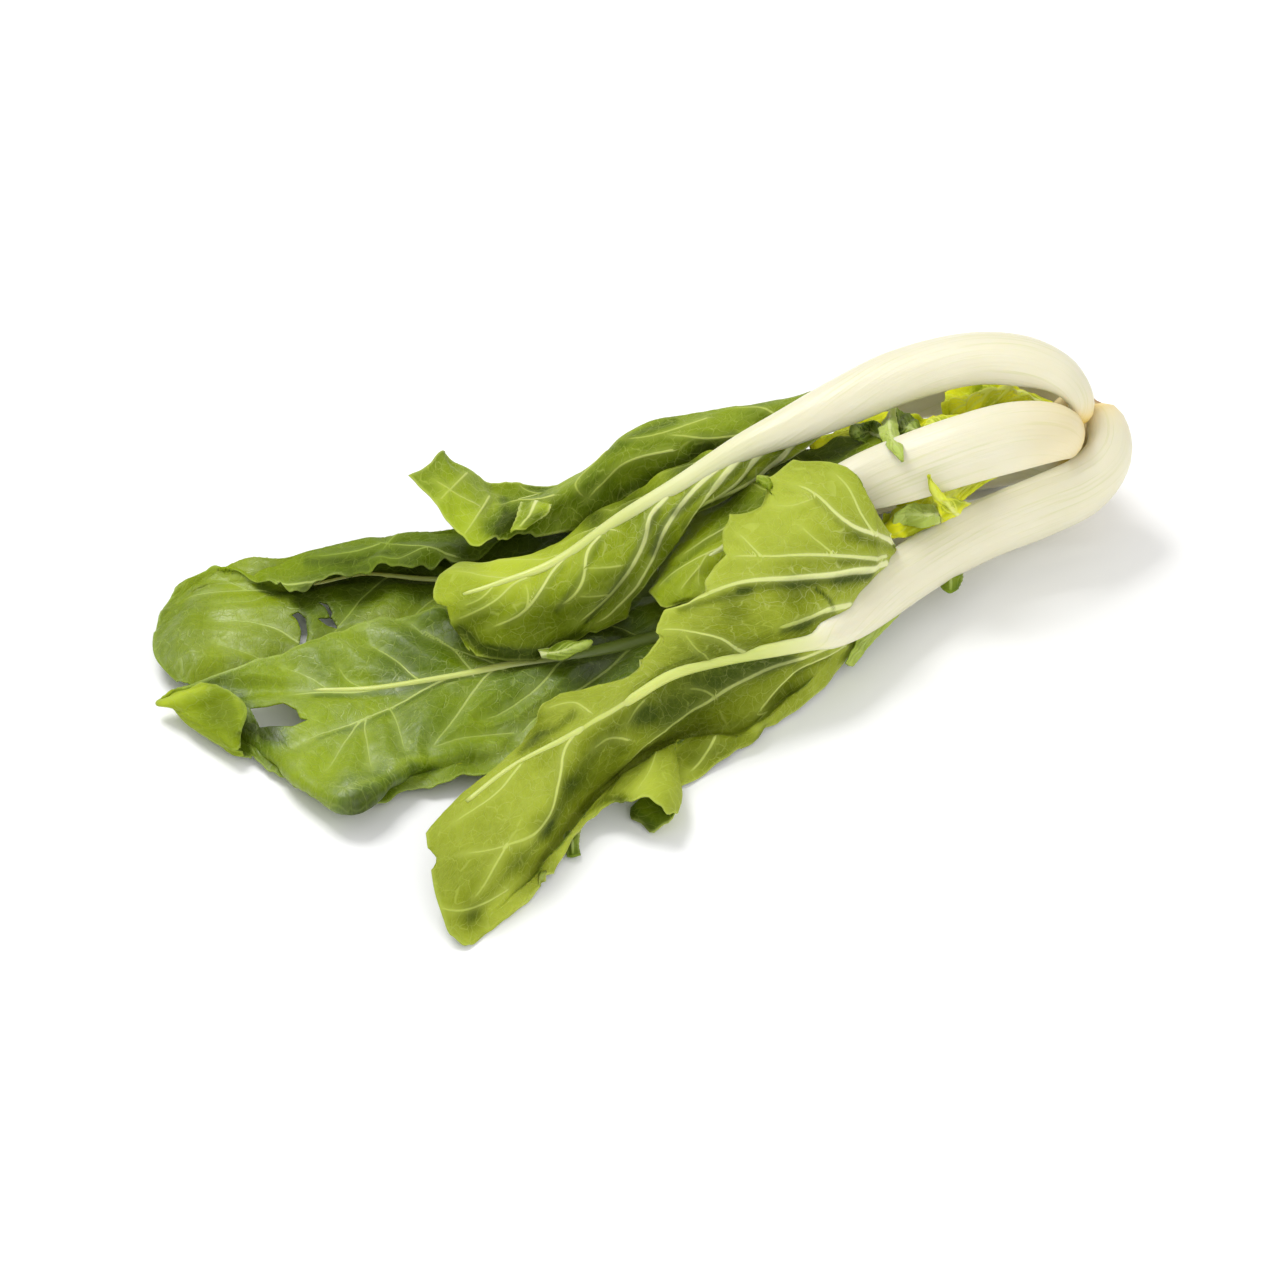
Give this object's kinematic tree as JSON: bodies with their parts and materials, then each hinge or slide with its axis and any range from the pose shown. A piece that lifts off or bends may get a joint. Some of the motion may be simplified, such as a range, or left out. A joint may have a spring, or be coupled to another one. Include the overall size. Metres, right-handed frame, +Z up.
{
  "type": "bok choy",
  "caption": "Loose head of bok choy lying on its side, with thick arching white stalks, crinkled green blades folded over each other, and small bright heart leaves inside.",
  "frame": {"origin": "on the surface the head lies on, under the middle of its box", "axes": "+X from the leaf tips towards the butt, along the head; +Z up from the surface; the pictured side looks towards -Y"},
  "size_m": [0.2946, 0.2275, 0.065],
  "materials": {
    "stalk": "smooth, moist, slightly translucent creamy white stalk with fine lengthwise ribs",
    "blade_underside": "matte yellow-green lower face of the leaf with raised pale veins",
    "blade_topside": "waxy darker green upper face of the leaf with sunken pale veins",
    "heart_leaf": "soft bright yellow-green young leaf",
    "butt": "dull pale tan cut face, a little brown at the rim"
  },
  "bodies": {
    "root": {"butt": "butt", "stalk_upper": "stalk", "stalk_middle": "stalk", "stalk_front": "stalk", "stalk_back": "stalk", "stalk_lower_back": "stalk", "stalk_lower_front": "stalk", "blade_upper": "blade_underside", "blade_middle": "blade_underside", "blade_front": "blade_underside", "blade_back": "blade_underside", "blade_lower_back": "blade_topside", "blade_lower_front": "blade_topside", "heart_leaf_high": "heart_leaf", "heart_leaf_middle": "heart_leaf", "heart_leaf_low": "heart_leaf"}
  },
  "joints": []
}
